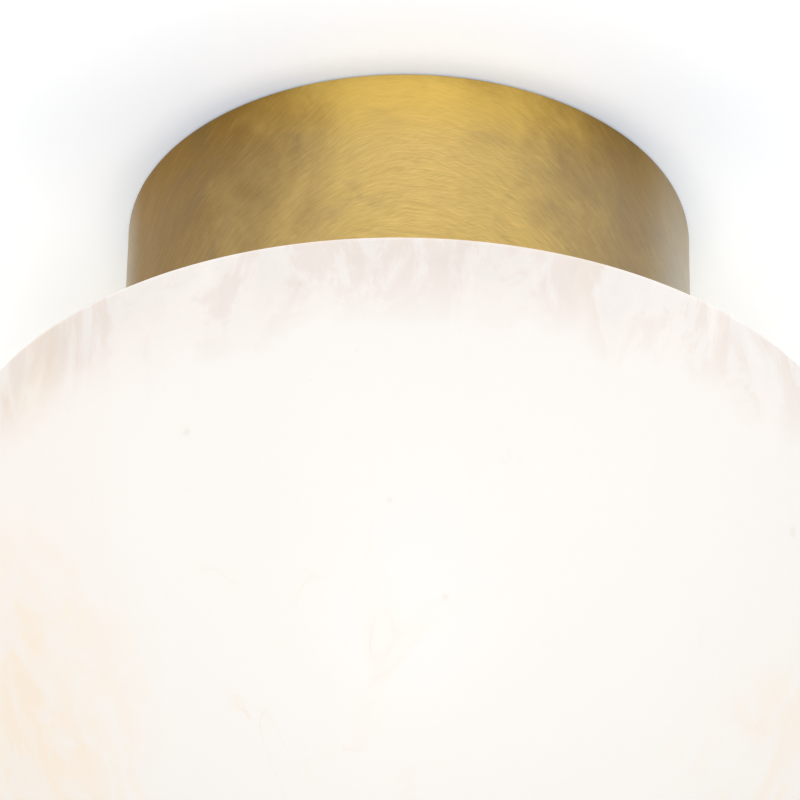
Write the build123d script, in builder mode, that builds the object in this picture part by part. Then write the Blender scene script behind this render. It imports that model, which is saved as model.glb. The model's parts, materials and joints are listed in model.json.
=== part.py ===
from build123d import *
import os

# A flush mount ceiling light: a brushed brass can against the ceiling carries a hollow alabaster
# shade. The ceiling is the plane z = 0, the light hangs below it, and every size is in millimetres.

# Stone shade
shade_radius = 100.0
shade_straight = 28.0
shade_wall = 10.0
shade_slab = 22.0
shade_rim_bevel = 1.2
carved_corner = 5.0
neck_play = 0.5

# Brass canopy
canopy_radius = 63.5
canopy_drop = 69.0
canopy_wall = 1.5
canopy_lip = 5.0
canopy_edge_bevel = 0.5

# Steel plate brazed inside the canopy
plate_thickness = 1.5
braze_gap = 0.05
screw_head_room = 0.9

# Felt ring between the canopy and the stone
felt_width = 3.0
felt_thickness = 0.8

# Threaded collar that carries the shade
collar_inset = 21.5
collar_wall = 6.0
collar_relief = 1.0
collar_height = 20.0
collar_flange_width = 8.5
collar_flange = 2.5
collar_chamfer = 0.6
thread_length = 12.0
thread_clearance = 0.05
collar_screw_inset = 4.0
collar_screw_count = 3

# Ring clamped in the neck of the stone
ring_wall = 5.95
ring_flange_width = 8.0
ring_flange = 2.5
ring_gasket = 1.0
ring_length = 21.2
ring_lead_in = 0.8

# Feet that clamp the ring under the stone slab
clamp_count = 3
clamp_screw_inset = 3.55
clamp_width = 11.0
clamp_setback = 1.35
clamp_heel_gap = 0.4
clamp_toe = 9.5
clamp_thickness = 2.5
clamp_corner = 2.5
pad_thickness = 1.2
pad_length = 7.0

# Ceiling bracket
strap_end = 1.55
strap_width = 22.0
strap_thickness = 2.0
strap_lip = 5.0
strap_lip_length = 62.0
slot_spacing = 88.9
slot_length = 20.0
slot_width = 4.6
boss_radius = 8.5
boss_height = 6.0
earth_place = 21.0

# Centre tube with its nuts, washer and bushing
tube_radius = 5.0
tube_bore_radius = 3.2
tube_overhang = 2.0
hex_flat_radius = 7.0
hex_height = 5.5
washer_radius = 8.5
washer_thickness = 1.2
bushing_flange = 1.5
bushing_spigot = 4.0
bushing_bore_radius = 2.2

# Pan for the lamp holders
pan_gap = 1.0
pan_hub = 12.0
pan_slope = 3.0
pan_step = 6.0
pan_sheet = 1.5

# Lamp holders
lamp_count = 3
lamp_inset = 10.5
lamp_start_angle = 90.0
holder_length = 22.0
holder_depth = 16.0
holder_height = 16.0
holder_corner = 3.5
pin_spacing = 9.0
socket_along = 3.4
socket_across = 2.8
socket_deep = 10.0
holder_screw_spacing = 16.8
holder_sink = 3.0
contact_thick = 0.4
contact_bow = 0.3
contact_margin = 0.4
contact_inset = 1.0
contact_height = 8.0

# Lamps
lamp_base_length = 14.0
lamp_base_depth = 8.6
lamp_base_height = 8.0
lamp_bulb_radius = 7.8
lamp_bulb_length = 42.0
lamp_bulb_bevel = 3.0
pin_width = 2.2
pin_wire = 0.8
pin_length = 7.5

# Screws, and the play of holes around their shanks
m4_radius = 2.0
m4_head_radius = 3.6
m4_head_height = 2.4
m3_radius = 1.5
m3_head_radius = 2.5
m3_head_height = 1.9
m26_radius = 1.2
m26_head_radius = 2.2
m26_head_height = 1.6
socket_share = 0.5
hole_play = 0.15
tapped_play = 0.05

# Radii and lengths that follow from the values above, from the canopy inwards
canopy_inner = canopy_radius - canopy_wall
collar_radius = canopy_radius - collar_inset
collar_bore = collar_radius - collar_wall
collar_screws_radius = collar_bore - collar_screw_inset
bore_radius = collar_radius + thread_clearance
ring_radius = bore_radius + ring_wall
ring_flange_radius = ring_radius + ring_flange_width
neck_radius = ring_radius + neck_play
clamp_screws_radius = bore_radius + clamp_screw_inset
clamp_inner = bore_radius + clamp_setback
clamp_heel = ring_radius - clamp_heel_gap
clamp_outer = neck_radius + clamp_toe
pan_radius = collar_bore - pan_gap
lamps_radius = pan_radius - lamp_inset
strap_length = slot_spacing + slot_length + 2 * strap_end

# Heights and sets of sizes that follow from the values above
canopy_bottom = -canopy_drop
shade_top = canopy_bottom - felt_thickness
spring_line = shade_top - shade_straight
slab_bottom = shade_top - shade_slab
ring_seat = shade_top + ring_gasket
ring_top = ring_seat + ring_flange
plate_bottom = ring_top + m3_head_height + screw_head_room
plate_top = plate_bottom + plate_thickness
collar_bottom = plate_bottom - collar_height
collar_seat = plate_bottom - collar_flange
thread_top = collar_bottom + thread_length
ring_bottom = shade_top - ring_length
foot_top = slab_bottom - pad_thickness
foot_bottom = foot_top - clamp_thickness
boss_bottom = -strap_thickness - boss_height
pan_low = plate_bottom - pan_step
holder_top = pan_low - pan_sheet
holder_bottom = holder_top - holder_height
hub_bottom = plate_bottom - pan_sheet
nut_top = hub_bottom - washer_thickness
nut_bottom = nut_top - hex_height
tube_bottom = nut_bottom - tube_overhang
lamp_base_bottom = holder_bottom - lamp_base_height
m4_sizes = (m4_radius, m4_head_radius, m4_head_height)
m3_sizes = (m3_radius, m3_head_radius, m3_head_height)
m26_sizes = (m26_radius, m26_head_radius, m26_head_height)


def save(part, name):
    """Give a finished piece its name and write it to its own file."""
    part.label = name
    export_step(part, f"parts/{name}.step")


def circles(part, radius):
    """The circular edges of a part that have this radius, lowest first."""
    rings = part.edges().filter_by(GeomType.CIRCLE)
    return rings.filter_by(lambda edge: abs(edge.radius - radius) < 0.001).sort_by(Axis.Z)


def make_screw(sizes, shank_length):
    """A screw at the origin, its shank upwards from z = 0 and its hex socket head below."""
    shank_radius, head_radius, head_height = sizes
    with BuildPart() as screw:
        Cylinder(shank_radius, shank_length, align=(Align.CENTER, Align.CENTER, Align.MIN))
        Cylinder(head_radius, head_height, align=(Align.CENTER, Align.CENTER, Align.MAX))
        with BuildSketch(Plane.XY.offset(-head_height)):
            RegularPolygon(head_radius * socket_share, 6)
        extrude(amount=head_height * socket_share, mode=Mode.SUBTRACT)
    return screw.part


def make_nut(top, bore_radius):
    """A hex nut around the vertical axis, from this top height downwards."""
    with BuildPart() as nut:
        with BuildSketch(Plane.XY.offset(top)):
            RegularPolygon(hex_flat_radius, 6, major_radius=False)
            Circle(bore_radius, mode=Mode.SUBTRACT)
        extrude(amount=-hex_height)
    return nut.part


os.makedirs("parts", exist_ok=True)

# Alabaster shade: a short upright wall with a crisp bevelled rim, closed above by a thick slab with
# a neck hole, and below by a half sphere. It is turned hollow through the neck.
hollow_radius = shade_radius - shade_wall
with BuildPart() as alabaster_shade:
    with BuildSketch(Plane.XZ):
        with BuildLine():
            Polyline((neck_radius, shade_top), (shade_radius, shade_top), (shade_radius, spring_line))
            CenterArc((0, spring_line), shade_radius, -90, 90)
            Line((0, spring_line - shade_radius), (0, spring_line - hollow_radius))
            CenterArc((0, spring_line), hollow_radius, -90, 90)
            Polyline(
                (hollow_radius, spring_line),
                (hollow_radius, slab_bottom),
                (neck_radius, slab_bottom),
                (neck_radius, shade_top),
            )
        make_face()
    revolve(axis=Axis.Z)
    chamfer(circles(alabaster_shade.part, shade_radius)[-1], shade_rim_bevel)
    chamfer(circles(alabaster_shade.part, hollow_radius)[-1], carved_corner)
save(alabaster_shade.part, "alabaster_shade")

# Brass canopy: a spun tube whose upper edge is rolled inwards, so that it lies flat on the ceiling.
with BuildPart() as canopy:
    with BuildSketch(Plane.XZ):
        with BuildLine():
            Polyline(
                (canopy_radius - canopy_lip, 0),
                (canopy_radius, 0),
                (canopy_radius, canopy_bottom),
                (canopy_inner, canopy_bottom),
                (canopy_inner, -canopy_wall),
                (canopy_radius - canopy_lip, -canopy_wall),
                close=True,
            )
        make_face()
    revolve(axis=Axis.Z)
    chamfer(circles(canopy.part, canopy_radius), canopy_edge_bevel)
save(canopy.part, "canopy")

# Steel plate inside the canopy: a flat disc, brazed to the brass round its edge.
with BuildPart() as canopy_plate:
    with BuildSketch(Plane.XY.offset(plate_bottom)):
        Circle(canopy_inner - braze_gap)
    extrude(amount=plate_thickness)
    with Locations((0, 0, plate_top)):
        Hole(tube_radius + hole_play)
        with PolarLocations(collar_screws_radius, collar_screw_count):
            Hole(m4_radius + tapped_play)
save(canopy_plate.part, "canopy_plate")

# Felt ring that the stone presses against the lower edge of the canopy.
with BuildPart() as felt_seal:
    with BuildSketch(Plane.XY.offset(shade_top)):
        Circle(canopy_radius)
        Circle(canopy_radius - felt_width, mode=Mode.SUBTRACT)
    extrude(amount=felt_thickness)
save(felt_seal.part, "felt_seal")

# Threaded collar: hangs from the plate on screws, with the thread outside its lower half.
with BuildPart() as threaded_collar:
    with BuildSketch(Plane.XZ):
        with BuildLine():
            Polyline(
                (collar_bore - collar_flange_width, plate_bottom),
                (collar_radius - collar_relief, plate_bottom),
                (collar_radius - collar_relief, thread_top),
                (collar_radius, thread_top),
                (collar_radius, collar_bottom),
                (collar_bore, collar_bottom),
                (collar_bore, collar_seat),
                (collar_bore - collar_flange_width, collar_seat),
                close=True,
            )
        make_face()
    revolve(axis=Axis.Z)
    chamfer(threaded_collar.edges().group_by(Axis.Z)[0], collar_chamfer)
    with Locations((0, 0, plate_bottom)):
        with PolarLocations(collar_screws_radius, collar_screw_count):
            Hole(m4_radius + hole_play, depth=collar_flange)
save(threaded_collar.part, "threaded_collar")

collar_screw = make_screw(m4_sizes, collar_flange + plate_thickness)
with BuildPart() as collar_screws:
    with Locations((0, 0, collar_seat)):
        with PolarLocations(collar_screws_radius, collar_screw_count):
            add(collar_screw)
save(collar_screws.part, "collar_screws")

# Ring in the neck of the stone: its flange rests on the slab through a gasket, and its bore runs
# on the collar's thread. The upper part of the bore is wider, to lead the collar in.
with BuildPart() as shade_ring:
    with BuildSketch(Plane.XZ):
        with BuildLine():
            Polyline(
                (bore_radius, ring_bottom),
                (ring_radius, ring_bottom),
                (ring_radius, ring_seat),
                (ring_flange_radius, ring_seat),
                (ring_flange_radius, ring_top),
                (bore_radius + ring_lead_in, ring_top),
                (bore_radius + ring_lead_in, thread_top),
                (bore_radius, thread_top),
                close=True,
            )
        make_face()
    revolve(axis=Axis.Z)
    with Locations((0, 0, ring_top)):
        with PolarLocations(clamp_screws_radius, clamp_count):
            Hole(m3_radius + hole_play)
save(shade_ring.part, "shade_ring")

with BuildPart() as ring_gasket_felt:
    with BuildSketch(Plane.XY.offset(shade_top)):
        Circle(ring_flange_radius)
        Circle(neck_radius, mode=Mode.SUBTRACT)
    extrude(amount=ring_gasket)
save(ring_gasket_felt.part, "ring_gasket")

# Clamp feet: each has a heel under the ring and a toe that presses a rubber pad on the slab.
with BuildPart() as clamp_foot:
    with BuildSketch(Plane.XZ):
        with BuildLine():
            Polyline(
                (clamp_inner, ring_bottom),
                (clamp_heel, ring_bottom),
                (clamp_heel, foot_top),
                (clamp_outer, foot_top),
                (clamp_outer, foot_bottom),
                (clamp_inner, foot_bottom),
                close=True,
            )
        make_face()
    extrude(amount=clamp_width / 2, both=True)
    toe_corners = clamp_foot.edges().filter_by(Axis.Z).group_by(Axis.X)[-1]
    chamfer(toe_corners, clamp_corner)
    with Locations((clamp_screws_radius, 0, ring_bottom)):
        Hole(m3_radius + tapped_play)

with BuildPart() as clamp_feet:
    with PolarLocations(0, clamp_count):
        add(clamp_foot.part)
save(clamp_feet.part, "clamp_feet")

with BuildPart() as clamp_pads:
    with BuildSketch(Plane.XY.offset(foot_top)):
        with PolarLocations(clamp_outer - clamp_corner - pad_length / 2, clamp_count):
            Rectangle(pad_length, clamp_width)
    extrude(amount=pad_thickness)
save(clamp_pads.part, "clamp_pads")

clamp_screw = make_screw(m3_sizes, ring_top - foot_bottom)
with BuildPart() as clamp_screws:
    with Locations((0, 0, ring_top)):
        with PolarLocations(clamp_screws_radius, clamp_count):
            add(clamp_screw, rotation=(180, 0, 0))
save(clamp_screws.part, "clamp_screws")

# Ceiling bracket: a pressed strap with stiffening lips, two slots for the screws of the ceiling
# box, a tapped boss for the centre tube and a hole for the earth screw.
with BuildPart() as ceiling_bracket:
    with BuildSketch():
        SlotOverall(strap_length, strap_width)
        with Locations((-slot_spacing / 2, 0), (slot_spacing / 2, 0)):
            SlotOverall(slot_length, slot_width, mode=Mode.SUBTRACT)
    extrude(amount=-strap_thickness)
    lip_offset = (strap_width - strap_thickness) / 2
    with BuildSketch(Plane.XY.offset(-strap_thickness)):
        with Locations((0, -lip_offset), (0, lip_offset)):
            Rectangle(strap_lip_length, strap_thickness)
    extrude(amount=-strap_lip)
    lip_ends = ceiling_bracket.edges().filter_by(Axis.Y).group_by(Axis.Z)[0]
    fillet(lip_ends, strap_lip / 2)
    with BuildSketch(Plane.XY.offset(-strap_thickness)):
        Circle(boss_radius)
    extrude(amount=-boss_height)
    Hole(tube_radius + tapped_play)
    with Locations((earth_place, 0, 0)):
        Hole(m4_radius + tapped_play)
save(ceiling_bracket.part, "ceiling_bracket")

earth_screw = make_screw(m4_sizes, strap_thickness)
with BuildPart() as ground_screw:
    with Locations((earth_place, 0, -strap_thickness)):
        add(earth_screw)
save(ground_screw.part, "ground_screw")

# Centre tube, from the strap down through the plate and the pan, with what it carries.
with BuildPart() as centre_tube:
    with BuildSketch():
        Circle(tube_radius)
        Circle(tube_bore_radius, mode=Mode.SUBTRACT)
    extrude(amount=tube_bottom)
save(centre_tube.part, "centre_tube")

bracket_nut = make_nut(boss_bottom, tube_radius + tapped_play)
save(bracket_nut, "bracket_nut")

centre_nut = make_nut(nut_top, tube_radius + tapped_play)
save(centre_nut, "centre_nut")

with BuildPart() as lock_washer:
    with BuildSketch(Plane.XY.offset(nut_top)):
        Circle(washer_radius)
        Circle(tube_radius + hole_play, mode=Mode.SUBTRACT)
    extrude(amount=washer_thickness)
save(lock_washer.part, "lock_washer")

with BuildPart() as wire_bushing:
    with BuildSketch(Plane.XY.offset(tube_bottom)):
        Circle(tube_radius)
    extrude(amount=-bushing_flange)
    with BuildSketch(Plane.XY.offset(tube_bottom)):
        Circle(tube_bore_radius - tapped_play)
    extrude(amount=bushing_spigot)
    Hole(bushing_bore_radius)
save(wire_bushing.part, "wire_bushing")

# Pan: a pressed disc whose hub touches the plate and whose flat ring carries the lamp holders.
pan_foot = pan_hub + pan_slope
with BuildPart() as lamp_pan:
    with BuildSketch(Plane.XZ):
        with BuildLine():
            Polyline(
                (0, plate_bottom),
                (pan_hub, plate_bottom),
                (pan_foot, pan_low),
                (pan_radius, pan_low),
                (pan_radius, holder_top),
                (pan_foot - pan_sheet, holder_top),
                (pan_hub - pan_sheet, hub_bottom),
                (0, hub_bottom),
                close=True,
            )
        make_face()
    revolve(axis=Axis.Z)
    with Locations((0, 0, plate_bottom)):
        Hole(tube_radius + hole_play)
        with PolarLocations(lamps_radius, lamp_count, start_angle=lamp_start_angle):
            with Locations((0, -holder_screw_spacing / 2), (0, holder_screw_spacing / 2)):
                Hole(m26_radius + tapped_play)
save(lamp_pan.part, "lamp_pan")

# One ceramic lamp holder over the origin, with its length along y: two sockets for the lamp's
# pins, and a sunk screw hole beyond each of them.
with BuildPart() as holder:
    with BuildSketch(Plane.XY.offset(holder_bottom)):
        RectangleRounded(holder_depth, holder_length, holder_corner)
    extrude(amount=holder_height)
    with BuildSketch(Plane.XY.offset(holder_bottom)):
        with Locations((0, -pin_spacing / 2), (0, pin_spacing / 2)):
            Rectangle(socket_across, socket_along)
    extrude(amount=socket_deep, mode=Mode.SUBTRACT)
    with BuildSketch(Plane.XY.offset(holder_bottom)):
        with Locations((0, -holder_screw_spacing / 2), (0, holder_screw_spacing / 2)):
            Circle(m26_head_radius + tapped_play)
    extrude(amount=holder_sink, mode=Mode.SUBTRACT)
    with BuildSketch(Plane.XY.offset(holder_bottom)):
        with Locations((0, -holder_screw_spacing / 2), (0, holder_screw_spacing / 2)):
            Circle(m26_radius + hole_play)
    extrude(amount=holder_height, mode=Mode.SUBTRACT)

# Spring contacts: one bowed strip against the outer side of each socket.
contact_low = holder_bottom + contact_inset
contact_wall = socket_across / 2
with BuildPart() as contacts:
    with BuildSketch(Plane.XZ):
        with BuildLine():
            Polyline(
                (contact_wall, contact_low),
                (contact_wall, contact_low + contact_height),
                (contact_wall - contact_thick, contact_low + contact_height),
                (contact_wall - contact_thick - contact_bow, contact_low + contact_height / 2),
                (contact_wall - contact_thick, contact_low),
                close=True,
            )
        make_face()
    strip_width = socket_along - contact_margin
    extrude(amount=strip_width / 2, both=True)

# One lamp under the origin: a ceramic foot, a frosted capsule and two flat wire loops.
with BuildPart() as lamp_base:
    with BuildSketch(Plane.XY.offset(lamp_base_bottom)):
        RectangleRounded(lamp_base_depth, lamp_base_length, lamp_base_depth / 2 - tapped_play)
    extrude(amount=lamp_base_height)

with BuildPart() as lamp_bulb:
    with BuildSketch(Plane.XY.offset(lamp_base_bottom)):
        Circle(lamp_bulb_radius)
    extrude(amount=-lamp_bulb_length)
    chamfer(circles(lamp_bulb.part, lamp_bulb_radius)[0], lamp_bulb_bevel)

with BuildPart() as lamp_pins:
    with BuildSketch(Plane.YZ.offset(-pin_wire / 2)):
        with Locations((-pin_spacing / 2, holder_bottom), (pin_spacing / 2, holder_bottom)):
            SlotOverall(pin_length * 2, pin_width, rotation=90)
            SlotOverall((pin_length - pin_wire) * 2, pin_width - pin_wire * 2, 90, mode=Mode.SUBTRACT)
        with Locations((0, holder_bottom - pin_length / 2)):
            Rectangle(pin_spacing * 2, pin_length, mode=Mode.SUBTRACT)
    extrude(amount=pin_wire)

# Each holder stands under the pan, turned to its own place on the lamp circle.
holder_screw = make_screw(m26_sizes, holder_height - holder_sink + pan_sheet)
lamp_places = list(PolarLocations(lamps_radius, lamp_count, start_angle=lamp_start_angle))
for number, place in enumerate(lamp_places, start=1):
    with BuildPart() as placed_holder:
        with Locations(place):
            add(holder.part)
    save(placed_holder.part, f"lamp_holder_{number}")
    with BuildPart() as placed_base:
        with Locations(place):
            add(lamp_base.part)
    save(placed_base.part, f"lamp_{number}_base")
    with BuildPart() as placed_bulb:
        with Locations(place):
            add(lamp_bulb.part)
    save(placed_bulb.part, f"lamp_{number}_bulb")
    with BuildPart() as placed_pins:
        with Locations(place):
            add(lamp_pins.part)
    save(placed_pins.part, f"lamp_{number}_pins")

with BuildPart() as holder_screws:
    with Locations(lamp_places):
        with Locations((0, -holder_screw_spacing / 2), (0, holder_screw_spacing / 2)):
            with Locations((0, 0, holder_bottom + holder_sink)):
                add(holder_screw)
save(holder_screws.part, "holder_screws")

with BuildPart() as socket_contacts:
    with Locations(lamp_places):
        with Locations((0, -pin_spacing / 2), (0, pin_spacing / 2)):
            add(contacts.part)
save(socket_contacts.part, "socket_contacts")
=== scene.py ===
# %% [markdown]
# # A flush ceiling light of brushed brass and alabaster
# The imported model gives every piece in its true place, in metres, with the ceiling at z = 0.
# It could be dressed piece by piece in the viewport, but a script can be read and run again.
# So this lesson loads the frame, then adds a camera, a ceiling, light, finer surfaces and finishes.

# %% Load the frame
import json
import math
from types import SimpleNamespace

import bpy
import numpy as np
from mathutils import Matrix, Vector


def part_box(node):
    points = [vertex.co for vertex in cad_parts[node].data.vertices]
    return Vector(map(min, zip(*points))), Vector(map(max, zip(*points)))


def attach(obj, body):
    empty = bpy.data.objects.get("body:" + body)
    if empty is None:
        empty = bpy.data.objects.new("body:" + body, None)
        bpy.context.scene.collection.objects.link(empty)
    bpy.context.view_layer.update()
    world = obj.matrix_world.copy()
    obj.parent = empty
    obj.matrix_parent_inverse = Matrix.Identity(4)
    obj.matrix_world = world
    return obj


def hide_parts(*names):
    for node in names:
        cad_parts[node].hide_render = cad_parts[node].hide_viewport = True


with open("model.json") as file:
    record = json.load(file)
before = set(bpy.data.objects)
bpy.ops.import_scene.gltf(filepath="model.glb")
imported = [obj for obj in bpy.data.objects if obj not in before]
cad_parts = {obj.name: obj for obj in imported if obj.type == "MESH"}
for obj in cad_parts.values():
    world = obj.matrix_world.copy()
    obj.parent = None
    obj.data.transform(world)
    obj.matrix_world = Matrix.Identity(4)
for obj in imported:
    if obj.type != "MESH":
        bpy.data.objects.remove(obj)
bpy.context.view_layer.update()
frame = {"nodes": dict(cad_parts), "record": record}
nodes = frame["nodes"]
scene = bpy.context.scene

# %% [markdown]
# ## The camera
# The photograph was taken from below and well away, so that the two rims look like wide ellipses.
# The camera could be set by eye. Here its angle and distance come from the shapes of those
# ellipses, which give an elevation of almost 36 degrees from a distance of twenty can radii.
# The aim lies a little below the ceiling's centre, because the frame cuts the stone off.

# %% Place the camera
CAN_RADIUS = 0.0635
ELEVATION = math.radians(35.83)
DISTANCE = 20 * CAN_RADIUS
ROLL = math.radians(0.75)
AIM_DROP = 0.0353
AIM_LEFT = 0.0015
SENSOR_MM = 36.0
LENS_MM = 251.8

view_axis = Vector((0, -math.cos(ELEVATION), -math.sin(ELEVATION)))
view_up = Vector((0, -math.sin(ELEVATION), math.cos(ELEVATION)))
eye = view_axis * DISTANCE
aim = view_up * -AIM_DROP + Vector((-AIM_LEFT, 0, 0))
back = (eye - aim).normalized()
right = view_up.cross(back).normalized()
up = back.cross(right)
turn = Matrix((right, up, back)).transposed().to_4x4()
camera_data = bpy.data.cameras.new("camera")
camera_data.sensor_width = SENSOR_MM
camera_data.lens = LENS_MM
camera_data.clip_end = 50
camera = bpy.data.objects.new("camera", camera_data)
camera.matrix_world = Matrix.Translation(eye) @ turn @ Matrix.Rotation(ROLL, 4, "Z")
scene.collection.objects.link(camera)
scene.camera = camera
scene.view_settings.view_transform = "Standard"
print("camera at", [round(v, 3) for v in eye], "lens", camera_data.lens)

# %% [markdown]
# ## Shader maths as plain expressions
# A finish is a small network of nodes. It could be wired by hand, one socket at a time.
# Here one class wraps an output socket, so that `1 - mask * 0.5` adds its own Math nodes, and one
# method adds every other node. The recipe then reads like the sentence that describes it.

# %% Numbers of a shader
class Number:
    """A number that changes over a surface, with Python's operators."""

    def __init__(self, finish, socket):
        self.finish = finish
        self.socket = socket

    def _math(self, operation, *values, clamp=False):
        settings = {"operation": operation, "use_clamp": clamp}
        return self.finish.add("ShaderNodeMath", settings, dict(enumerate(values)))

    def __add__(self, other):
        return self._math("ADD", self, other)

    def __sub__(self, other):
        return self._math("SUBTRACT", self, other)

    def __rsub__(self, other):
        return self._math("SUBTRACT", other, self)

    def __mul__(self, other):
        return self._math("MULTIPLY", self, other)

    def __truediv__(self, other):
        return self._math("DIVIDE", self, other)

    __radd__ = __add__
    __rmul__ = __mul__

    def sine(self):
        return self._math("SINE", self)

    def angle_to(self, other):
        """The angle whose tangent is this number over the other."""
        return self._math("ARCTAN2", self, other)

    def size(self):
        return self._math("ABSOLUTE", self)

    def root(self):
        return self._math("SQRT", self)

    def clamped(self):
        return self._math("ADD", self, 0.0, clamp=True)

    def smooth(self, low, high):
        """0 below low, 1 above high, and a soft step between them."""
        settings = {"interpolation_type": "SMOOTHSTEP"}
        return self.finish.add("ShaderNodeMapRange", settings, {0: self, 1: low, 2: high})

    def near(self, centre, width):
        """1 at the centre value, falling softly to 0 at this distance from it."""
        return 1 - (self - centre).size().smooth(0.0, width)


print("shader numbers ready")

# %% [markdown]
# The second class is a finish: one Principled shader and the nodes that feed it. Constants are set
# on the shader's own sockets, and only what varies over the surface is linked. The Mix node has
# its own sockets for each kind of data, so those for colours are picked by their place.

# %% A finish and its nodes
MIX_FACTOR, MIX_FIRST, MIX_SECOND = 0, 6, 7
MIX_COLOUR = 2


class Finish:
    """A named material whose constants are given by socket name."""

    def __init__(self, name, **constants):
        self.material = bpy.data.materials.new(name)
        self.material.use_nodes = True
        self.tree = self.material.node_tree
        self.shader = self.tree.nodes["Principled BSDF"]
        for socket, value in constants.items():
            self.shader.inputs[socket.replace("_", " ")].default_value = value
        self.place = self.add("ShaderNodeTexCoord", {}, {}, output="Object", plain=True)
        parts = self.add("ShaderNodeSeparateXYZ", {}, {0: self.place}, plain=True)
        self.x = Number(self, parts.node.outputs[0])
        self.y = Number(self, parts.node.outputs[1])
        self.z = Number(self, parts.node.outputs[2])

    def add(self, kind, settings, inputs, output=0, plain=False):
        """Adds one node, sets it up, fills its sockets and gives back one output."""
        node = self.tree.nodes.new(kind)
        for setting, value in settings.items():
            setattr(node, setting, value)
        for socket, value in inputs.items():
            if isinstance(value, Number):
                self.tree.links.new(value.socket, node.inputs[socket])
            elif isinstance(value, bpy.types.NodeSocket):
                self.tree.links.new(value, node.inputs[socket])
            else:
                node.inputs[socket].default_value = value
        result = node.outputs[output]
        return result if plain else Number(self, result)

    def point(self, x, y, z):
        """A place put together from three numbers."""
        return self.add("ShaderNodeCombineXYZ", {}, {0: x, 1: y, 2: z}, plain=True)

    def scaled(self, x, y, z):
        """The place on the surface, stretched by three factors."""
        settings = {"operation": "MULTIPLY"}
        return self.add("ShaderNodeVectorMath", settings, {0: self.place, 1: (x, y, z)}, plain=True)

    def noise(self, place, scale, detail=3.0, rough=0.55, distortion=0.0):
        """Soft cloudy noise about 0.5, with this many features to a metre."""
        sockets = {"Vector": place, "Scale": scale, "Detail": detail, "Roughness": rough,
                   "Distortion": distortion}
        return self.add("ShaderNodeTexNoise", {}, sockets)

    def blend(self, factor, first, second, kind="MIX"):
        """The first colour where the factor is 0, and the second where it is 1."""
        settings = {"data_type": "RGBA", "blend_type": kind}
        sides = [c if isinstance(c, bpy.types.NodeSocket) else (*c, 1.0) for c in (first, second)]
        sockets = {MIX_FACTOR: factor, MIX_FIRST: sides[0], MIX_SECOND: sides[1]}
        return self.add("ShaderNodeMix", settings, sockets, output=MIX_COLOUR, plain=True)

    def bump(self, height, distance, strength):
        """Relief whose full height is this distance in metres."""
        sockets = {"Height": height, "Distance": distance, "Strength": strength}
        normal = self.add("ShaderNodeBump", {}, sockets, plain=True)
        self.tree.links.new(normal, self.shader.inputs["Normal"])

    def feed(self, socket, value):
        """Links a number or a colour to a socket of the shader."""
        source = value.socket if isinstance(value, Number) else value
        self.tree.links.new(source, self.shader.inputs[socket])


print("finish helper ready")

# %% [markdown]
# ## The stage
# The light hangs under a white ceiling, and the photograph shows little else: white, with a soft
# grey shadow that hugs the can. The ceiling could be one bright background, but it would lose that
# shadow. So it is a real white plane, lit like the rest, and that shadow is also partly painted on
# it beside the can.

# %% Build the ceiling
CEILING_REACH = 6.0
CEILING_LIFT = 0.0002
ceiling_mesh = bpy.data.meshes.new("ceiling")
corners = [(x * CEILING_REACH, y * CEILING_REACH, CEILING_LIFT)
           for x, y in ((-1, -1), (-1, 1), (1, 1), (1, -1))]
ceiling_mesh.from_pydata(corners, [], [(0, 1, 2, 3)])
ceiling = bpy.data.objects.new("ceiling", ceiling_mesh)
scene.collection.objects.link(ceiling)
print("ceiling faces down:", ceiling_mesh.polygons[0].normal.z < 0)

# %% [markdown]
# The paint glows a little for the camera and in reflections, which makes the open ceiling white
# without more light on the brass. Ambient Occlusion tells how hemmed in the ceiling is, and a
# painted shadow turns the glow and the paint blue-grey beside the can, more so on the viewer's
# side. Seen from above the paint lets the view through, so that the fixture's back shows.

# %% Paint the ceiling
TOUCH_REACH = 0.015
SHADOW_REACH = 0.09
HEMMED_IN = 0.48
paint = Finish("ceiling_paint", Roughness=0.9, Specular_IOR_Level=0.0)


def openness(reach):
    """How open the ceiling is within this distance: 1 in the open, about a half beside the can."""
    return paint.add("ShaderNodeAmbientOcclusion", {"samples": 8}, {"Distance": reach}, output="AO")


# Painted shadow: beside the can the base colour turns blue-grey, more so on the viewer's side (-Y).
facing = (-1 * paint.y).smooth(-0.005, 0.060)
contact_shadow = openness(TOUCH_REACH).smooth(HEMMED_IN, 0.90)
shadow_base = paint.blend(facing, (0.84, 0.85, 0.86), (0.66, 0.67, 0.70))
paint.feed("Base Color", paint.blend(contact_shadow, shadow_base, (1.0, 1.0, 1.0)))
rays = paint.add("ShaderNodeLightPath", {}, {}, plain=True).node
seen = Number(paint, rays.outputs["Is Camera Ray"]) + Number(paint, rays.outputs["Is Glossy Ray"])
seen = seen + Number(paint, rays.outputs["Is Transmission Ray"])
# Painted shadow: the glow that camera and reflections see turns blue-grey beside the can.
beside = paint.blend(facing, (0.26, 0.30, 0.33), (0.12, 0.175, 0.245))
white = paint.blend(openness(SHADOW_REACH).smooth(HEMMED_IN, 1.0), beside, (0.40, 0.415, 0.415))
paint.feed("Emission Color", paint.blend(seen, (0.0, 0.0, 0.0), white))
paint.shader.inputs["Emission Strength"].default_value = 1.0
behind = paint.add("ShaderNodeNewGeometry", {}, {}, output="Backfacing")
clear = paint.add("ShaderNodeBsdfTransparent", {}, {}, plain=True)
sides = {0: behind, 1: paint.shader.outputs[0], 2: clear}
both = paint.add("ShaderNodeMixShader", {}, sides, plain=True)
paint.tree.links.new(both, paint.tree.nodes["Material Output"].inputs["Surface"])
ceiling_mesh.materials.append(paint.material)
print("ceiling paint nodes", len(paint.tree.nodes))

# %% [markdown]
# ## The light of the studio
# A brushed can shows a bright upright band where it faces a soft lamp, and darker flanks where it
# faces the room. One large lamp near the camera gives that band. The world adds even light, and
# is white to the camera and in reflections.

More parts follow.
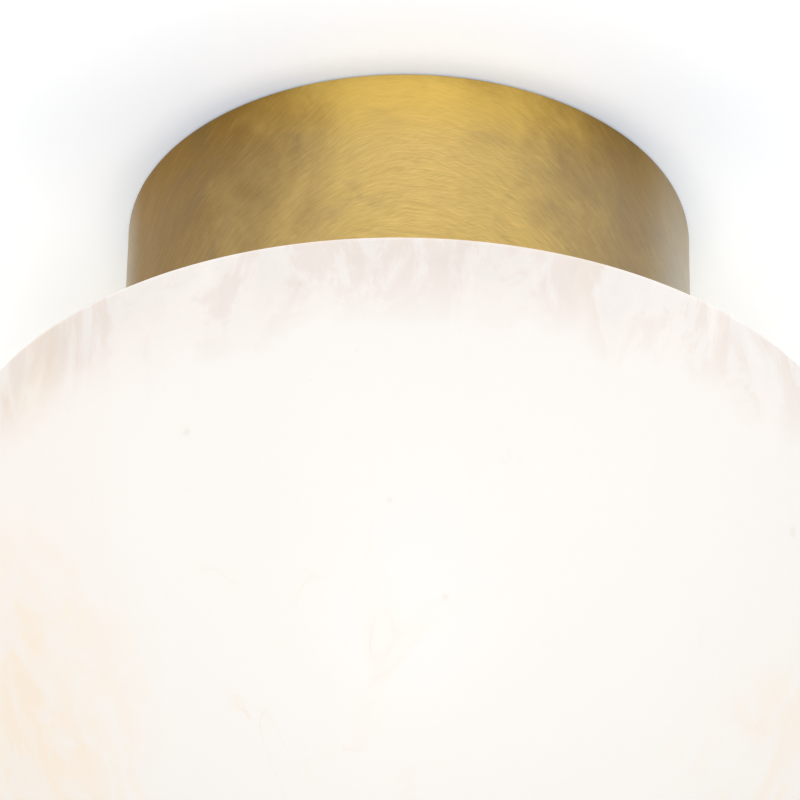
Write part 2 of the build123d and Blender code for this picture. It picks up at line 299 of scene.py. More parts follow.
# %% Hang the front lamp
def soft_lamp(name, place, target, width, height, power):
    """A rectangular lamp at a place, turned towards its target."""
    data = bpy.data.lights.new(name, "AREA")
    data.shape = "RECTANGLE"
    data.size = width
    data.size_y = height
    data.energy = power
    lamp = bpy.data.objects.new(name, data)
    lamp.location = place
    lamp.rotation_euler = (Vector(target) - Vector(place)).to_track_quat("-Z", "Y").to_euler()
    scene.collection.objects.link(lamp)


soft_lamp("front_lamp", (0.1, -1.9, -1.5), (0, 0, -0.05), width=0.9, height=1.2, power=17.0)

# %% [markdown]
# The even light could be a picture of a room, but one plain grey world does as well, because the
# brass is too rough to mirror anything. Light Path tells the rays that see the world from those
# that only carry its light: camera, glossy and transmission rays find white.

# %% Light the room
ROOM_LIGHT = 0.58
SEEN_WHITE = 1.0
world = bpy.data.worlds.new("studio")
scene.world = world
world.use_nodes = True
sky, links = world.node_tree.nodes, world.node_tree.links
even = sky["Background"]
even.inputs["Color"].default_value = (1.0, 1.0, 1.0, 1.0)
even.inputs["Strength"].default_value = ROOM_LIGHT
backdrop = sky.new("ShaderNodeBackground")
backdrop.inputs["Color"].default_value = (1.0, 1.0, 1.0, 1.0)
backdrop.inputs["Strength"].default_value = SEEN_WHITE
ray = sky.new("ShaderNodeLightPath")
either, any_of_three = sky.new("ShaderNodeMath"), sky.new("ShaderNodeMath")
for adder, first, second in (
    (either, ray.outputs["Is Camera Ray"], ray.outputs["Is Glossy Ray"]),
    (any_of_three, either.outputs[0], ray.outputs["Is Transmission Ray"]),
):
    adder.operation = "ADD"
    adder.use_clamp = True
    links.new(first, adder.inputs[0])
    links.new(second, adder.inputs[1])
choice = sky.new("ShaderNodeMixShader")
for socket, source in enumerate((any_of_three, even, backdrop)):
    links.new(source.outputs[0], choice.inputs[socket])
links.new(choice.outputs[0], sky["World Output"].inputs["Surface"])
print("room light", ROOM_LIGHT, "nodes", len(sky))

# %% [markdown]
# ## Turned surfaces
# Can, stone and bulbs are all turned: a flat outline carried round an axis. A CAD mesh of such a
# form is made of a few flat strips, which show in a polished surface. A revolve tool could repair
# that, but a formula is shorter: every point of the outline becomes a ring of points.

# %% Points of an outline
def arc(centre_r, centre_z, radius, start, stop, steps):
    """Points on a circle in the (r, z) plane, from one angle in degrees to another."""
    angle = np.radians(np.linspace(start, stop, steps))
    return np.stack([centre_r + radius * np.cos(angle), centre_z + radius * np.sin(angle)], axis=1)


def subdivide(start, stop, steps):
    """Points on a straight run from one (r, z) to another, without its last point."""
    share = np.linspace(0, 1, steps, endpoint=False)[:, None]
    return np.array(start) * (1 - share) + np.array(stop) * share


print("quarter circle of radius 1:", arc(0, 0, 1, 0, 90, 3).round(3).tolist())

# %% [markdown]
# The outline runs anticlockwise when it is drawn with r to the right and z up, so that its faces
# look outwards, and its last ring joins its first, so that it closes round the wall. Points on the
# axis would make a ring of no size, so each becomes one pole.

# %% Carry an outline round the axis
ON_AXIS = 1e-9
SHARP_EDGE = math.radians(30)


def turned(name, profile, segments, centre=(0.0, 0.0)):
    """Surface of revolution of a closed profile of (r, z) points about a vertical axis.

    Point (i, j) lies at centre + (r_i cos t_j, r_i sin t_j) and height z_i, with t_j going once
    round in equal steps.
    """
    profile = np.asarray(profile, dtype=float)
    count = len(profile)
    theta = 2 * np.pi * np.arange(segments) / segments
    r, z = profile[:, 0, None], profile[:, 1, None]
    x = centre[0] + r * np.cos(theta)
    y = centre[1] + r * np.sin(theta)
    grid = np.stack([x, y, np.broadcast_to(z, x.shape)], axis=2).reshape(-1, 3)
    index = np.arange(count * segments).reshape(count, segments)
    poles = profile[:, 0] < ON_AXIS
    index[poles] = index[poles][:, :1]
    rows = np.arange(count)
    after = (rows + 1) % count
    keep = ~(poles[rows] & poles[after])
    rows, after = rows[keep], after[keep]
    here, beside = index[rows], np.roll(index[rows], -1, axis=1)
    above, across = index[after], np.roll(index[after], -1, axis=1)
    quads = np.stack([here, beside, across, above], axis=2).reshape(-1, 4)
    faces = [tuple(dict.fromkeys(q)) for q in quads.tolist()]
    used = np.unique(np.concatenate([np.array(f) for f in faces]))
    order = np.zeros(len(grid), dtype=int)
    order[used] = np.arange(len(used))
    mesh = bpy.data.meshes.new(name)
    mesh.from_pydata(grid[used].tolist(), [], [tuple(order[list(f)].tolist()) for f in faces])
    mesh.shade_smooth()
    mesh.set_sharp_from_angle(angle=SHARP_EDGE)
    piece = bpy.data.objects.new(name, mesh)
    scene.collection.objects.link(piece)
    return piece


def enclosed(piece):
    """Volume inside a closed piece: a sixth of the sum of a . (b x c) over its triangles.

    It is positive where the faces point outwards.
    """
    mesh = piece.data
    mesh.calc_loop_triangles()
    corners = np.zeros(len(mesh.loop_triangles) * 3, dtype=np.int32)
    mesh.loop_triangles.foreach_get("vertices", corners)
    points = np.zeros(len(mesh.vertices) * 3)
    mesh.vertices.foreach_get("co", points)
    a, b, c = points.reshape(-1, 3)[corners.reshape(-1, 3)].transpose(1, 0, 2)
    return float(np.einsum("ij,ij->i", a, np.cross(b, c)).sum() / 6)


print("turning helper ready")

# %% [markdown]
# ## The stone
# The shade is one block of alabaster, turned outside to a short upright wall and a half sphere,
# with a crisp but just broken rim. Its hollow is turned through the neck, and leaves a thick slab
# under the rim. Main heights are read from the solid, so the stone stays where the solid is.

# %% Turn the stone
SHADE_RADIUS = 0.100
SHADE_WALL = 0.010
shade_low, shade_high = (Vector(v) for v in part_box("alabaster_shade"))
SHADE_TOP = shade_high.z
SPRING_LINE = shade_low.z + SHADE_RADIUS
SLAB = 0.022
SLAB_BOTTOM = SHADE_TOP - SLAB
SLAB_CHAMFER = 0.005
NECK_RADIUS = 0.0485
RIM = 0.0013
FIRST_STEP = 0.0004
HOLLOW = SHADE_RADIUS - SHADE_WALL
outside = np.concatenate([
    arc(0, SPRING_LINE, SHADE_RADIUS, -90, 0, 80)[:-1],
    subdivide((SHADE_RADIUS, SPRING_LINE), (SHADE_RADIUS, SHADE_TOP - RIM), 14),
    arc(SHADE_RADIUS - RIM, SHADE_TOP - RIM, RIM, 0, 90, 8),
    subdivide((SHADE_RADIUS - RIM - FIRST_STEP, SHADE_TOP), (NECK_RADIUS, SHADE_TOP), 20),
])
inside = np.concatenate([
    subdivide((NECK_RADIUS, SHADE_TOP), (NECK_RADIUS, SLAB_BOTTOM), 10),
    subdivide((NECK_RADIUS, SLAB_BOTTOM), (HOLLOW - SLAB_CHAMFER, SLAB_BOTTOM), 10),
    subdivide((HOLLOW - SLAB_CHAMFER, SLAB_BOTTOM), (HOLLOW, SLAB_BOTTOM - SLAB_CHAMFER), 4),
    arc(0, SPRING_LINE, HOLLOW, 0, -90, 60),
])
shade = turned("alabaster_stone", np.concatenate([outside, inside]), 256)
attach(shade, "shade")
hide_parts("alabaster_shade")
print("stone", len(shade.data.polygons), "faces, litres", round(enclosed(shade) * 1000, 3))

# %% [markdown]
# ## The bands of the stone
# Lit alabaster glows nearly white where the wall is thin, and is a pinkish beige in the thick slab
# round the rim. There the stone's upright bands show as pale feathers and streaks and a few darker
# blotches. A picture of stone could be wrapped round it, but would show a seam. Noise in the
# piece's own space has none, and stands upright when its height is scaled down.

# %% Map the bands round the rim
def rim_bands(stone):
    """Masks of the slab, what shows in it and the rim's painted highlight: 1 inside, 0 outside."""
    depth = SHADE_TOP - stone.z
    wander = stone.noise(stone.scaled(38, 38, 20), 1.0, 3.0)
    slab = 1 - (depth + (wander - 0.5) * 0.030).smooth(0.006, 0.030)
    upright = stone.noise(stone.scaled(1, 1, 0.38), 95.0, 5.0, 0.66, 0.5)
    plume = stone.noise(stone.scaled(1, 1, 0.55), 50.0, 6.0, 0.70, 1.0)
    patch = stone.noise(stone.scaled(1, 1, 0.9), 36.0, 5.0, 0.65, 0.6)
    fibre = stone.noise(stone.scaled(1, 1, 0.12), 260.0, 3.0)
    return SimpleNamespace(
        depth=depth,
        slab=slab,
        # Painted highlight: the top 1.6 mm of the rim, where the glow is made brighter.
        edge=1 - depth.smooth(0.0004, 0.0016),
        streaks=upright.smooth(0.50, 0.68) * slab,
        feather=plume.smooth(0.46, 0.56) * slab,
        blotch=patch.smooth(0.46, 0.58) * slab,
        threads=fibre.smooth(0.56, 0.74) * slab,
    )


print("slab", SLAB, "m thick, wall", SHADE_WALL, "m")

# %% [markdown]
# ## The marks of the stone
# A block is known by its marks: honey stains that seeped in along cracks, hair-thin veins with a
# faint drift of colour beside them, one short upright crack, and a few dark grains. Stains, crack
# and grains stand where they are on this shade, so they are a list of places. The veins follow
# the line where a slow noise crosses its middle value.

# %% Map the stains, veins and grains
GRAINS = [
    (-0.0446, -0.0885, -0.1114, 0.0010), (-0.0196, -0.0978, -0.1047, 0.0009),
    (-0.0102, -0.0995, -0.0983, 0.0009), (-0.0031, -0.0943, -0.1310, 0.0010),
    (0.0082, -0.0858, -0.1484, 0.0011), (0.0803, -0.0574, -0.1137, 0.0020),
]
STAINS = [
    (-0.079, -0.036, -0.146, 0.050, 1.0), (-0.079, -0.061, -0.079, 0.020, 0.9),
    (0.078, -0.032, -0.152, 0.034, 0.5), (0.060, 0.075, -0.085, 0.030, 0.8),
    (-0.062, 0.060, -0.150, 0.034, 0.7),
]
CRACK_X, CRACK_Z = 0.0601, -0.1446
CRACK_WIDTH, CRACK_LENGTH = 0.0005, 0.004


def stone_marks(stone, depth, cloud, fog):
    """Masks of stain, hair, drift and grain, each 1 inside its mark and 0 outside."""

    def gap_to(place):
        return stone.add("ShaderNodeVectorMath", {"operation": "DISTANCE"},
                         {0: stone.place, 1: place}, output="Value")

    seep = stone.noise(stone.scaled(1.2, 1.2, 0.45), 50.0, 5.0, 0.62, 1.6).smooth(0.40, 0.60)
    stain = 0.0
    for px, py, pz, size, amount in STAINS:
        spread = 1 - gap_to((px, py, pz)).smooth(size * 0.2, size)
        stain = stain + spread * (0.25 + seep * 0.75) * amount
    speck = 0.0
    for px, py, pz, size in GRAINS:
        gap = gap_to((px, py, pz)) + (fog - 0.5) * 0.002
        speck = speck + (1 - gap.smooth(size * 0.2, size))

    vein = stone.noise(stone.scaled(1, 1, 0.5), 21.0, 3.0, 0.55, 1.6)
    hair = vein.near(0.5, 0.006) * cloud.smooth(0.50, 0.66)
    wavy = (stone.x - CRACK_X + (fog - 0.5) * 0.003).size()
    hair = hair + wavy.near(0.0, CRACK_WIDTH) * stone.z.near(CRACK_Z, CRACK_LENGTH) * 0.6
    drift = vein.near(0.5, 0.045) * cloud.smooth(0.40, 0.60)
    drift = drift * (0.15 + depth.smooth(0.055, 0.105) * 0.85)
    return SimpleNamespace(stain=stain.clamped(), speck=speck.clamped(), hair=hair, drift=drift)


print("stains", len(STAINS), "grains", len(GRAINS))

# %% [markdown]
# ## Alabaster with a light behind it
# Real scattering could be traced, but it is slow and other programs can't read it. So the glow is
# a plain emission whose strength and tint follow the bands and marks, and the surface under it
# keeps a pale stone colour with a low polish, beiger in the thick slab, partly its tint and partly
# painted shade. The glow is painted a little warmer on the left flank and a little brighter on both
# flanks than in the middle, and a thin painted highlight runs along the rim.

# %% Mix the alabaster
def mix_alabaster():
    stone = Finish("alabaster", Specular_IOR_Level=0.35)
    band = rim_bands(stone)
    slab, feather, blotch = band.slab, band.feather, band.blotch
    cloud = stone.noise(stone.scaled(1, 1, 0.7), 17.0, 4.0, 0.6, 0.8)
    fog = stone.noise(stone.scaled(1, 1, 0.45), 60.0, 5.0, 0.65, 0.4)
    mark = stone_marks(stone, band.depth, cloud, fog)
    # Painted light: the glow is made brighter on both flanks and warmer on the left (-X), fixed to
    # the sides.
    left = (-1 * stone.x).smooth(0.020, 0.098)
    right = stone.x.smooth(0.010, 0.075)

    # Partly the stone's tint and partly painted shade: the base colour is darker and beiger under
    # the slab.
    body = stone.blend(slab * 0.55, (0.66, 0.640, 0.620), (0.630, 0.575, 0.540))
    body = stone.blend(mark.stain * 0.45, body, (0.660, 0.560, 0.430))
    body = stone.blend(mark.drift * 0.25, body, (0.660, 0.580, 0.480))
    body = stone.blend(mark.hair * 0.22, body, (0.520, 0.430, 0.340))
    body = stone.blend(mark.speck * 0.30, body, (0.50, 0.43, 0.34))
    stone.feed("Base Color", body)

    strength = 0.955 - slab * 0.34 + band.streaks * 0.10 + feather * 0.15
    # The rim's painted highlight adds to the glow here.
    strength = strength - blotch * 0.055 + band.threads * 0.05 + band.edge * 0.24
    strength = strength * (0.97 + cloud * 0.05 + (fog - 0.5) * 0.04)
    strength = strength + left * 0.09 + right * 0.05 + right * slab * 0.09
    strength = strength - mark.hair * 0.06 - mark.speck * 0.03

    glow = stone.blend(left, (0.372, 0.364, 0.346), (0.386, 0.352, 0.318))
    glow = stone.blend(slab, glow, (0.446, 0.380, 0.336))
    pale = (feather * 0.85 + right * slab * 0.3).clamped()
    glow = stone.blend(pale, glow, (0.415, 0.402, 0.392))
    glow = stone.blend(blotch * (1 - feather) * 0.5, glow, (0.446, 0.368, 0.310))
    glow = stone.blend(mark.stain * 0.85, glow, (0.405, 0.325, 0.235))
    glow = stone.blend(mark.drift * 0.4, glow, (0.385, 0.335, 0.275))
    lit = {0: glow, 1: stone.point(strength, strength, strength)}
    glow = stone.add("ShaderNodeVectorMath", {"operation": "MULTIPLY"}, lit, plain=True)
    stone.feed("Emission Color", glow)
    stone.shader.inputs["Emission Strength"].default_value = 1.0

    stone.feed("Roughness", 0.42 + fog * 0.10 + slab * 0.04)
    grain = stone.noise(stone.place, 900.0, 3.0)
    stone.bump(grain * 0.4 + fog * 0.6, 0.00012, 0.35)
    return stone.material


shade.data.materials.append(mix_alabaster())
print("alabaster nodes", len(shade.data.materials[0].node_tree.nodes))

# %% [markdown]
# ## The can
# The canopy is a spun brass tube, cut square below, whose upper edge is rolled in against the
# ceiling. Both outer edges are just broken, so each catches a thin line of light.

# %% Turn the can
can_low, _ = (Vector(v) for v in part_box("canopy"))
EDGE = 0.0005
SHEET = 0.0015
LIP = 0.005
bottom = can_low.z
can_profile = np.concatenate([
    arc(CAN_RADIUS - EDGE, bottom + EDGE, EDGE, -90, 0, 6),
    subdivide((CAN_RADIUS, bottom + EDGE + FIRST_STEP), (CAN_RADIUS, -EDGE), 40),
    arc(CAN_RADIUS - EDGE, -EDGE, EDGE, 0, 90, 6),
    subdivide((CAN_RADIUS - EDGE - FIRST_STEP, 0), (CAN_RADIUS - LIP, 0), 4),
    subdivide((CAN_RADIUS - LIP, 0), (CAN_RADIUS - LIP, -SHEET), 2),
    subdivide((CAN_RADIUS - LIP, -SHEET), (CAN_RADIUS - SHEET, -SHEET), 4),
    subdivide((CAN_RADIUS - SHEET, -SHEET), (CAN_RADIUS - SHEET, bottom), 20),
    [(CAN_RADIUS - SHEET, bottom)],
])
can = turned("canopy_can", can_profile, 360)
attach(can, "fixture")
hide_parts("canopy")
print("can", len(can.data.polygons), "faces, cubic cm", round(enclosed(can) * 1e6, 1))

# %% [markdown]
# ## Brush strokes round a can
# The can was rubbed by hand with an abrasive pad, so its strokes are short arcs that cross at low
# angles. Noise squeezed along one axis would give straight hairlines. Here the height is bent by a
# sine of the angle before the noise is read, in a whole number of waves, so no seam shows.

# %% Bend the strokes
def stroke_maker(brass, angle):
    """Gives a function that draws noise along arcs of equal z + sweep sin(waves angle + phase)."""
    stray = (brass.noise(brass.place, 34.0, 2.0) - 0.5) * 0.009

    def strokes(waves, sweep, phase, across, along, detail=1.5):
        bent = brass.z + (angle * waves + phase).sine() * sweep + stray
        place = brass.point(brass.x * along, brass.y * along, bent * across)
        return brass.noise(place, 1.0, detail, 0.6)

    return strokes


print("stroke helper ready")

# %% [markdown]
# ## Brass darkened by age, with painted shade and reflections
# Since it was rubbed the metal has darkened in smoky patches and small smudges. Over that patina,
# painted shade darkens three broad zones round the can, leaving it bright at the front, where the
# lamp is, and a little darker towards -X. The flanks are painted grey as a reflection of the pale
# room, and close to the ceiling a richer gold is painted as the warm light between brass and
# ceiling. One colour per zone would look painted, so the zones are soft sums of noise that blend a
# bright brass into a brown one.

# %% Map where the brass is dark
DARK_ZONES = 3


def patina_and_painted_shade(brass, angle, height):
    """1 where brass is brown, from patina and painted shade, 0 where bright. Height is 0 at the
    ceiling.
    """
    smoke = brass.noise(brass.place, 30.0, 4.0, 0.62, 0.8)
    haze = brass.noise(brass.scaled(1, 1, 0.8), 80.0, 4.0, 0.65, 0.5)
    # Painted shade: three dark lobes round the can, none at the front (-Y), where the lamp is.
    painted_shade = 0.5 - (angle * DARK_ZONES).sine() * 0.5
    # Smoke and haze are patina; the -X term paints more shade on that side; darker near the
    # ceiling.
    dark = painted_shade + (smoke - 0.5) * 0.9 + (haze - 0.5) * 0.7 - (height - 0.35) * 0.35 - brass.x * 1.6
    return dark.smooth(-0.05, 0.98)


print("dark zones round the can:", DARK_ZONES)

# %% [markdown]
# The strokes change the metal's colour and roughness as well as its relief, because a rubbed and
# darkened surface is lighter where the pad cut deepest. Broad strokes add lighter and darker
# sweeps over the fine grain.

# %% Age the brass
CAN_HEIGHT = 0.069
QUARTER_TURN = math.pi / 2


def mix_aged_brass():
    brass = Finish("aged_brass", Metallic=1.0, Anisotropic=0.7, Anisotropic_Rotation=0.25)
    x, z = brass.x, brass.z
    angle = brass.y.angle_to(x)
    height = (z / -CAN_HEIGHT).clamped()
    strokes = stroke_maker(brass, angle)
    arch = strokes(2, 0.030, QUARTER_TURN, across=3800, along=260)
    cross = strokes(3, 0.014, 2.2, across=4600, along=330)
    level = strokes(2, 0.020, 1.2, across=5400, along=380)
    broad = strokes(2, 0.030, QUARTER_TURN, across=1000, along=130, detail=3.0)
    grain = arch * 0.42 + cross * 0.26 + level * 0.32

    dark = patina_and_painted_shade(brass, angle, height)
    smudge = brass.noise(brass.scaled(1, 1, 1.3), 52.0, 4.0, 0.6, 0.9).smooth(0.54, 0.70)
    # Painted reflection: near the ceiling the brass is painted a richer gold, as light bounced off
    # the ceiling.
    top = 1 - height.smooth(0.0, 0.30)
    warm_reflection = top * (1 - dark) * (1 - dark) * 0.5
    # Painted reflection: the flanks at +X, more so lower down, and at -X are painted grey, as the
    # pale room.
    grey_reflection = x.smooth(0.0500, 0.0632) * (0.35 + height * 0.6)
    grey_reflection = (grey_reflection + (-1 * x).smooth(0.0590, 0.0634) * 0.35).clamped()

    rub = (grain - 0.1).smooth(0.22, 0.60)
    bright = brass.blend(rub, (0.550, 0.390, 0.134), (0.712, 0.516, 0.183))
    bright = brass.blend(smudge * 0.40, bright, (0.460, 0.325, 0.148))
    fade = (height * 0.7 + x * 6).clamped()
    brown = brass.blend(fade, (0.302, 0.190, 0.071), (0.338, 0.268, 0.180))
    brown = brass.blend(grain.smooth(0.35, 0.65) * 0.14, brown, (0.500, 0.380, 0.180))
    brown = brass.blend(smudge * 0.35, brown, (0.220, 0.168, 0.112))

    colour = brass.blend(dark * 0.97, bright, brown)
    colour = brass.blend(broad.smooth(0.50, 0.74) * 0.12, colour, (0.760, 0.565, 0.225))
    colour = brass.blend(0.14 - broad.smooth(0.26, 0.48) * 0.14, colour, (0.245, 0.165, 0.082))
    # Painted reflection: the same warm bounced light near the ceiling, multiplied in as orange.
    colour = brass.blend(top * 0.8, colour, (1.0, 0.87, 0.40), "MULTIPLY")
    colour = brass.blend(warm_reflection, colour, (0.860, 0.640, 0.180))
    colour = brass.blend(grey_reflection, colour, (0.600, 0.590, 0.530))
    brass.feed("Base Color", colour)
    brass.feed("Roughness", (0.46 + (1 - grain) * 0.10 + dark * 0.08).clamped())
    brass.bump(grain + broad * 0.3, 0.00002, 0.4)
    return brass.material


can.data.materials.append(mix_aged_brass())
print("brass nodes", len(can.data.materials[0].node_tree.nodes))

# %% [markdown]
# ## Inside the light
# The rest shows when the stone is taken down or a lamp is changed, or from above. Each of these
# pieces keeps its CAD shape and gets the finish that such a piece has. First a small helper puts a
# finish on every node of one slot of the record.

# %% Dress the nodes of a slot
slot_nodes = {}
for part in frame["record"]["subparts"]:
    slot_nodes.setdefault(part["material_slot"], []).append(part["node"])


def dress(slot, material):
    """Puts one finish on every CAD node of a material slot."""
    for name in slot_nodes[slot]:
        mesh = nodes[name].data
        mesh.materials.clear()
        mesh.materials.append(material)
    print(slot, "on", ", ".join(slot_nodes[slot]))


# %% [markdown]
# ## Machined brass with a two-start thread
# Collar and ring are turned from thick tube. The tool leaves fine rings, and a coarse thread lets
# the stone be screwed home in two turns. A real helix could be cut in the mesh, but the running gap
# is far thinner than a thread. So a ridge that climbs by one lead a turn goes into the bump: a sine
# of the height, with twice the angle taken off for the two starts.

# %% Cut the thread into the finish
LEAD = 0.006
STARTS = 2
THREAD_LENGTH = 0.012
THREAD_BAND = 0.0007
RUN_OUT = 0.0006
collar_low, collar_high = (Vector(v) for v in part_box("threaded_collar"))
ring_low, _ = (Vector(v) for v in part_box("shade_ring"))


def mix_machined_brass(name, low, high, thread_radius):
    """Turned brass with a thread between two heights, on faces near one radius."""
    brass = Finish(name, Metallic=1.0)
    x, y, z = brass.x, brass.y, brass.z
    angle = y.angle_to(x)
    radius = (x * x + y * y).root()
    helix = (z * (2 * math.pi * STARTS / LEAD) - angle * STARTS).sine()
    zone = radius.near(thread_radius, THREAD_BAND)
    zone = zone * z.smooth(low, low + RUN_OUT) * (1 - z.smooth(high - RUN_OUT, high))
    rings = brass.noise(brass.point(radius * 3500, 0.0, z * 3500), 1.0, 2.0)
    marks = brass.noise(brass.place, 160.0, 4.0, 0.6)
    tarnish = brass.noise(brass.place, 38.0, 4.0, 0.6, 0.6).smooth(0.48, 0.7)
    colour = brass.blend(rings, (0.62, 0.44, 0.19), (0.78, 0.59, 0.28))
    colour = brass.blend(tarnish * 0.4, colour, (0.50, 0.33, 0.15))
    # Painted shade: the thread's groove, which is only relief in the bump, is darkened in the
    # colour.
    groove_shade = (zone * (0.5 - helix * 0.5)).clamped()
    colour = brass.blend(groove_shade * 0.6, colour, (0.30, 0.20, 0.08))
    brass.feed("Base Color", colour)
    brass.feed("Roughness", 0.24 + rings * 0.12 + marks * 0.08 + groove_shade * 0.12)
    brass.bump(zone * helix * 0.9 + rings * 0.05, 0.0004, 0.8)
    return brass.material


thread_top = collar_low.z + THREAD_LENGTH
collar_brass = mix_machined_brass("collar_brass", collar_low.z, thread_top, collar_high.x)
ring_brass = mix_machined_brass("ring_brass", ring_low.z, thread_top, collar_high.x)
dress("machined_brass", ring_brass)
nodes["threaded_collar"].data.materials[0] = collar_brass

# %% [markdown]
# ## Zinc on the pressed steel
# Pressed steel in a light is bright zinc: grey with a faint warm and blue bloom, the flakes of the
# plating and the grain of the rolled sheet. A picture of metal would need a map for every small
# piece, so noise in each piece's own space does it. The earth screw, the lamps' pins and the
# spring contacts take the same recipe in other colours.

# %% Zinc on the steel
def mix_zinc(name, base, bloom, warm):
    """Plated metal: rolled grain over two slow tints, with flakes and fine wear."""
    zinc = Finish(name, Metallic=1.0)
    grain = zinc.noise(zinc.scaled(1, 14, 14), 160.0, 3.0)
    flakes = zinc.add("ShaderNodeTexVoronoi", {"feature": "F1"},
                      {"Vector": zinc.place, "Scale": 300.0}, output="Distance")
    drift = zinc.noise(zinc.place, 45.0, 3.0, 0.5, 0.8)
    colour = zinc.blend(drift.smooth(0.38, 0.62), bloom, warm)
    colour = zinc.blend(0.35 + grain * 0.5, colour, base)
    wear = zinc.noise(zinc.place, 700.0, 2.0).smooth(0.68, 0.76)
    colour = zinc.blend(wear * 0.3, colour, (0.35, 0.34, 0.33))
    zinc.feed("Base Color", colour)
    zinc.feed("Roughness", 0.30 + grain * 0.12 + flakes * 0.12 + wear * 0.15)
    zinc.bump(grain * 0.7 + flakes * 0.3, 0.00005, 0.4)
    return zinc.material


PLATED = {
    "zinc_steel": ((0.60, 0.61, 0.62), (0.56, 0.60, 0.66), (0.66, 0.63, 0.55)),
    "green_screw": ((0.05, 0.30, 0.11), (0.04, 0.26, 0.12), (0.09, 0.36, 0.12)),
    "nickel_wire": ((0.66, 0.64, 0.60), (0.62, 0.63, 0.64), (0.70, 0.66, 0.58)),
    "spring_bronze": ((0.66, 0.44, 0.24), (0.60, 0.40, 0.26), (0.74, 0.50, 0.26)),
}
for slot, colours in PLATED.items():
    dress(slot, mix_zinc(slot, *colours))

# %% [markdown]
# ## Enamel, ceramic, plastic and rubber
# The pan is stove enamelled, the holders are fired, and the bushing and pads are moulded. All four
# skins are even, with a slow drift of tone, a few specks and a very slightly wavy surface, so one
# recipe with different numbers makes them all.

# %% Bake enamel, ceramic and plastic
def mix_baked(name, pale, dark, roughness, speck_colour, speck_scale, peel, coat):
    """A baked or moulded finish: soft drift of tone, fine specks and a slightly wavy surface."""
    baked = Finish(name, Coat_Weight=coat, Coat_Roughness=0.12)
    drift = baked.noise(baked.place, 55.0, 4.0, 0.6)
    specks = baked.noise(baked.place, speck_scale, 2.0, 0.5).smooth(0.66, 0.74)
    skin = baked.noise(baked.place, 1400.0, 2.0)
    colour = baked.blend(drift.smooth(0.35, 0.65), pale, dark)
    colour = baked.blend(specks * 0.5, colour, speck_colour)
    baked.feed("Base Color", colour)
    baked.feed("Roughness", roughness + skin * 0.08 + drift * 0.05)
    baked.bump(skin, peel, 0.35)
    return baked.material


BAKED = {
    "white_enamel": ("white_enamel", (0.86, 0.86, 0.84), (0.80, 0.80, 0.77), 0.18,
                     (0.55, 0.53, 0.48), 600.0, 0.00010, 0.4),
    "white_ceramic": ("white_ceramic", (0.84, 0.82, 0.77), (0.77, 0.74, 0.68), 0.42,
                      (0.36, 0.31, 0.25), 1100.0, 0.00008, 0.0),
    "black_plastic": ("black_plastic", (0.030, 0.030, 0.032), (0.022, 0.022, 0.023), 0.38,
                      (0.06, 0.06, 0.06), 1800.0, 0.00010, 0.0),
    "rubber": ("pad_rubber", (0.050, 0.048, 0.046), (0.036, 0.035, 0.034), 0.68,
               (0.10, 0.10, 0.10), 900.0, 0.00015, 0.0),
}
for slot, recipe in BAKED.items():
    dress(slot, mix_baked(*recipe))

# %% [markdown]
# ## Felt
# Felt is matted wool: short fibres that lie every way, with a soft, slightly fuzzy surface. Hair
# particles could stand on it, but the felt is a thin line between brass and stone. So two strongly
# warped noises draw its fibres, and a slow one its thicker tufts.

# %% Mat the felt
def mix_felt():
    felt = Finish("felt", Roughness=0.95, Specular_IOR_Level=0.2)
    warped = felt.noise(felt.place, 900.0, 4.0, 0.7, 2.5)
    fibre = felt.noise(felt.scaled(1, 1, 3), 2200.0, 3.0, 0.7, 3.0)
    tuft = felt.noise(felt.place, 140.0, 3.0)
    colour = felt.blend(fibre, (0.20, 0.185, 0.170), (0.36, 0.340, 0.315))
    colour = felt.blend(tuft.smooth(0.4, 0.7) * 0.5, colour, (0.44, 0.42, 0.39))
    felt.feed("Base Color", colour)
    felt.bump(fibre * 0.6 + warped * 0.4, 0.0004, 0.8)
    return felt.material


dress("felt", mix_felt())

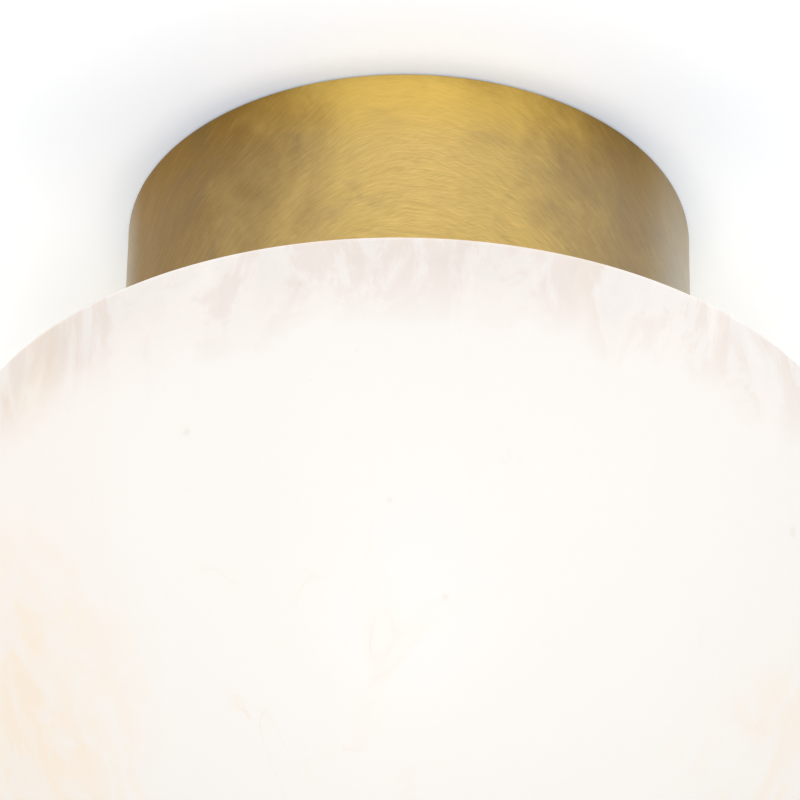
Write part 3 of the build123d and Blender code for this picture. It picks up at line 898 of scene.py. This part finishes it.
# %% [markdown]
# ## The lamps
# Each lamp is a frosted capsule on a ceramic foot. It is brightest along the middle, where the
# strip of light sources stands, and dims towards the foot and the tip. Its end is drawn in and
# rounded, so the capsule is turned here over its plainer CAD shape.

# %% Turn the capsules
BULB_RADIUS = 0.0078
BULB_SHOULDER = 0.0045
FOOT_EDGE = 0.0005
SHOULDER_STEP = 0.001
LAMP_GLOW = 0.42


def mix_frosted(name, high, low):
    """Frosted glass that glows most half way between its two ends."""
    frosted = Finish(name, Coat_Weight=0.1, Coat_Roughness=0.4)
    level = (high - frosted.z) / (high - low)
    middle = 1 - (level - 0.5).size().smooth(0.1, 0.52)
    mist = frosted.noise(frosted.place, 800.0, 3.0)
    colour = frosted.blend(mist, (0.78, 0.77, 0.74), (0.86, 0.85, 0.82))
    frosted.feed("Base Color", colour)
    glow = frosted.blend(middle, (0.30, 0.255, 0.19), (1.0, 0.93, 0.80))
    frosted.feed("Emission Color", glow)
    frosted.shader.inputs["Emission Strength"].default_value = LAMP_GLOW
    frosted.feed("Roughness", 0.5 + mist * 0.15)
    frosted.bump(mist, 0.00006, 0.4)
    return frosted.material


for number in (1, 2, 3):
    bulb_low, bulb_high = (Vector(v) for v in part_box(f"lamp_{number}_bulb"))
    axis = ((bulb_low.x + bulb_high.x) / 2, (bulb_low.y + bulb_high.y) / 2)
    tip, foot = bulb_low.z, bulb_high.z
    capsule = np.concatenate([
        subdivide((0, tip), (BULB_RADIUS - BULB_SHOULDER, tip), 3),
        arc(BULB_RADIUS - BULB_SHOULDER, tip + BULB_SHOULDER, BULB_SHOULDER, -90, 0, 12),
        subdivide((BULB_RADIUS, tip + BULB_SHOULDER + SHOULDER_STEP),
                  (BULB_RADIUS, foot - FOOT_EDGE), 12),
        arc(BULB_RADIUS - FOOT_EDGE, foot - FOOT_EDGE, FOOT_EDGE, 0, 90, 4),
        [(0, foot)],
    ])
    bulb = turned(f"lamp_{number}_capsule", capsule, 64, axis)
    bulb.data.materials.append(mix_frosted(f"frosted_{number}", foot, tip))
    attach(bulb, f"lamp_{number}")
    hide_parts(f"lamp_{number}_bulb")
    print("capsule", number, "cubic cm", round(enclosed(bulb) * 1e6, 2))
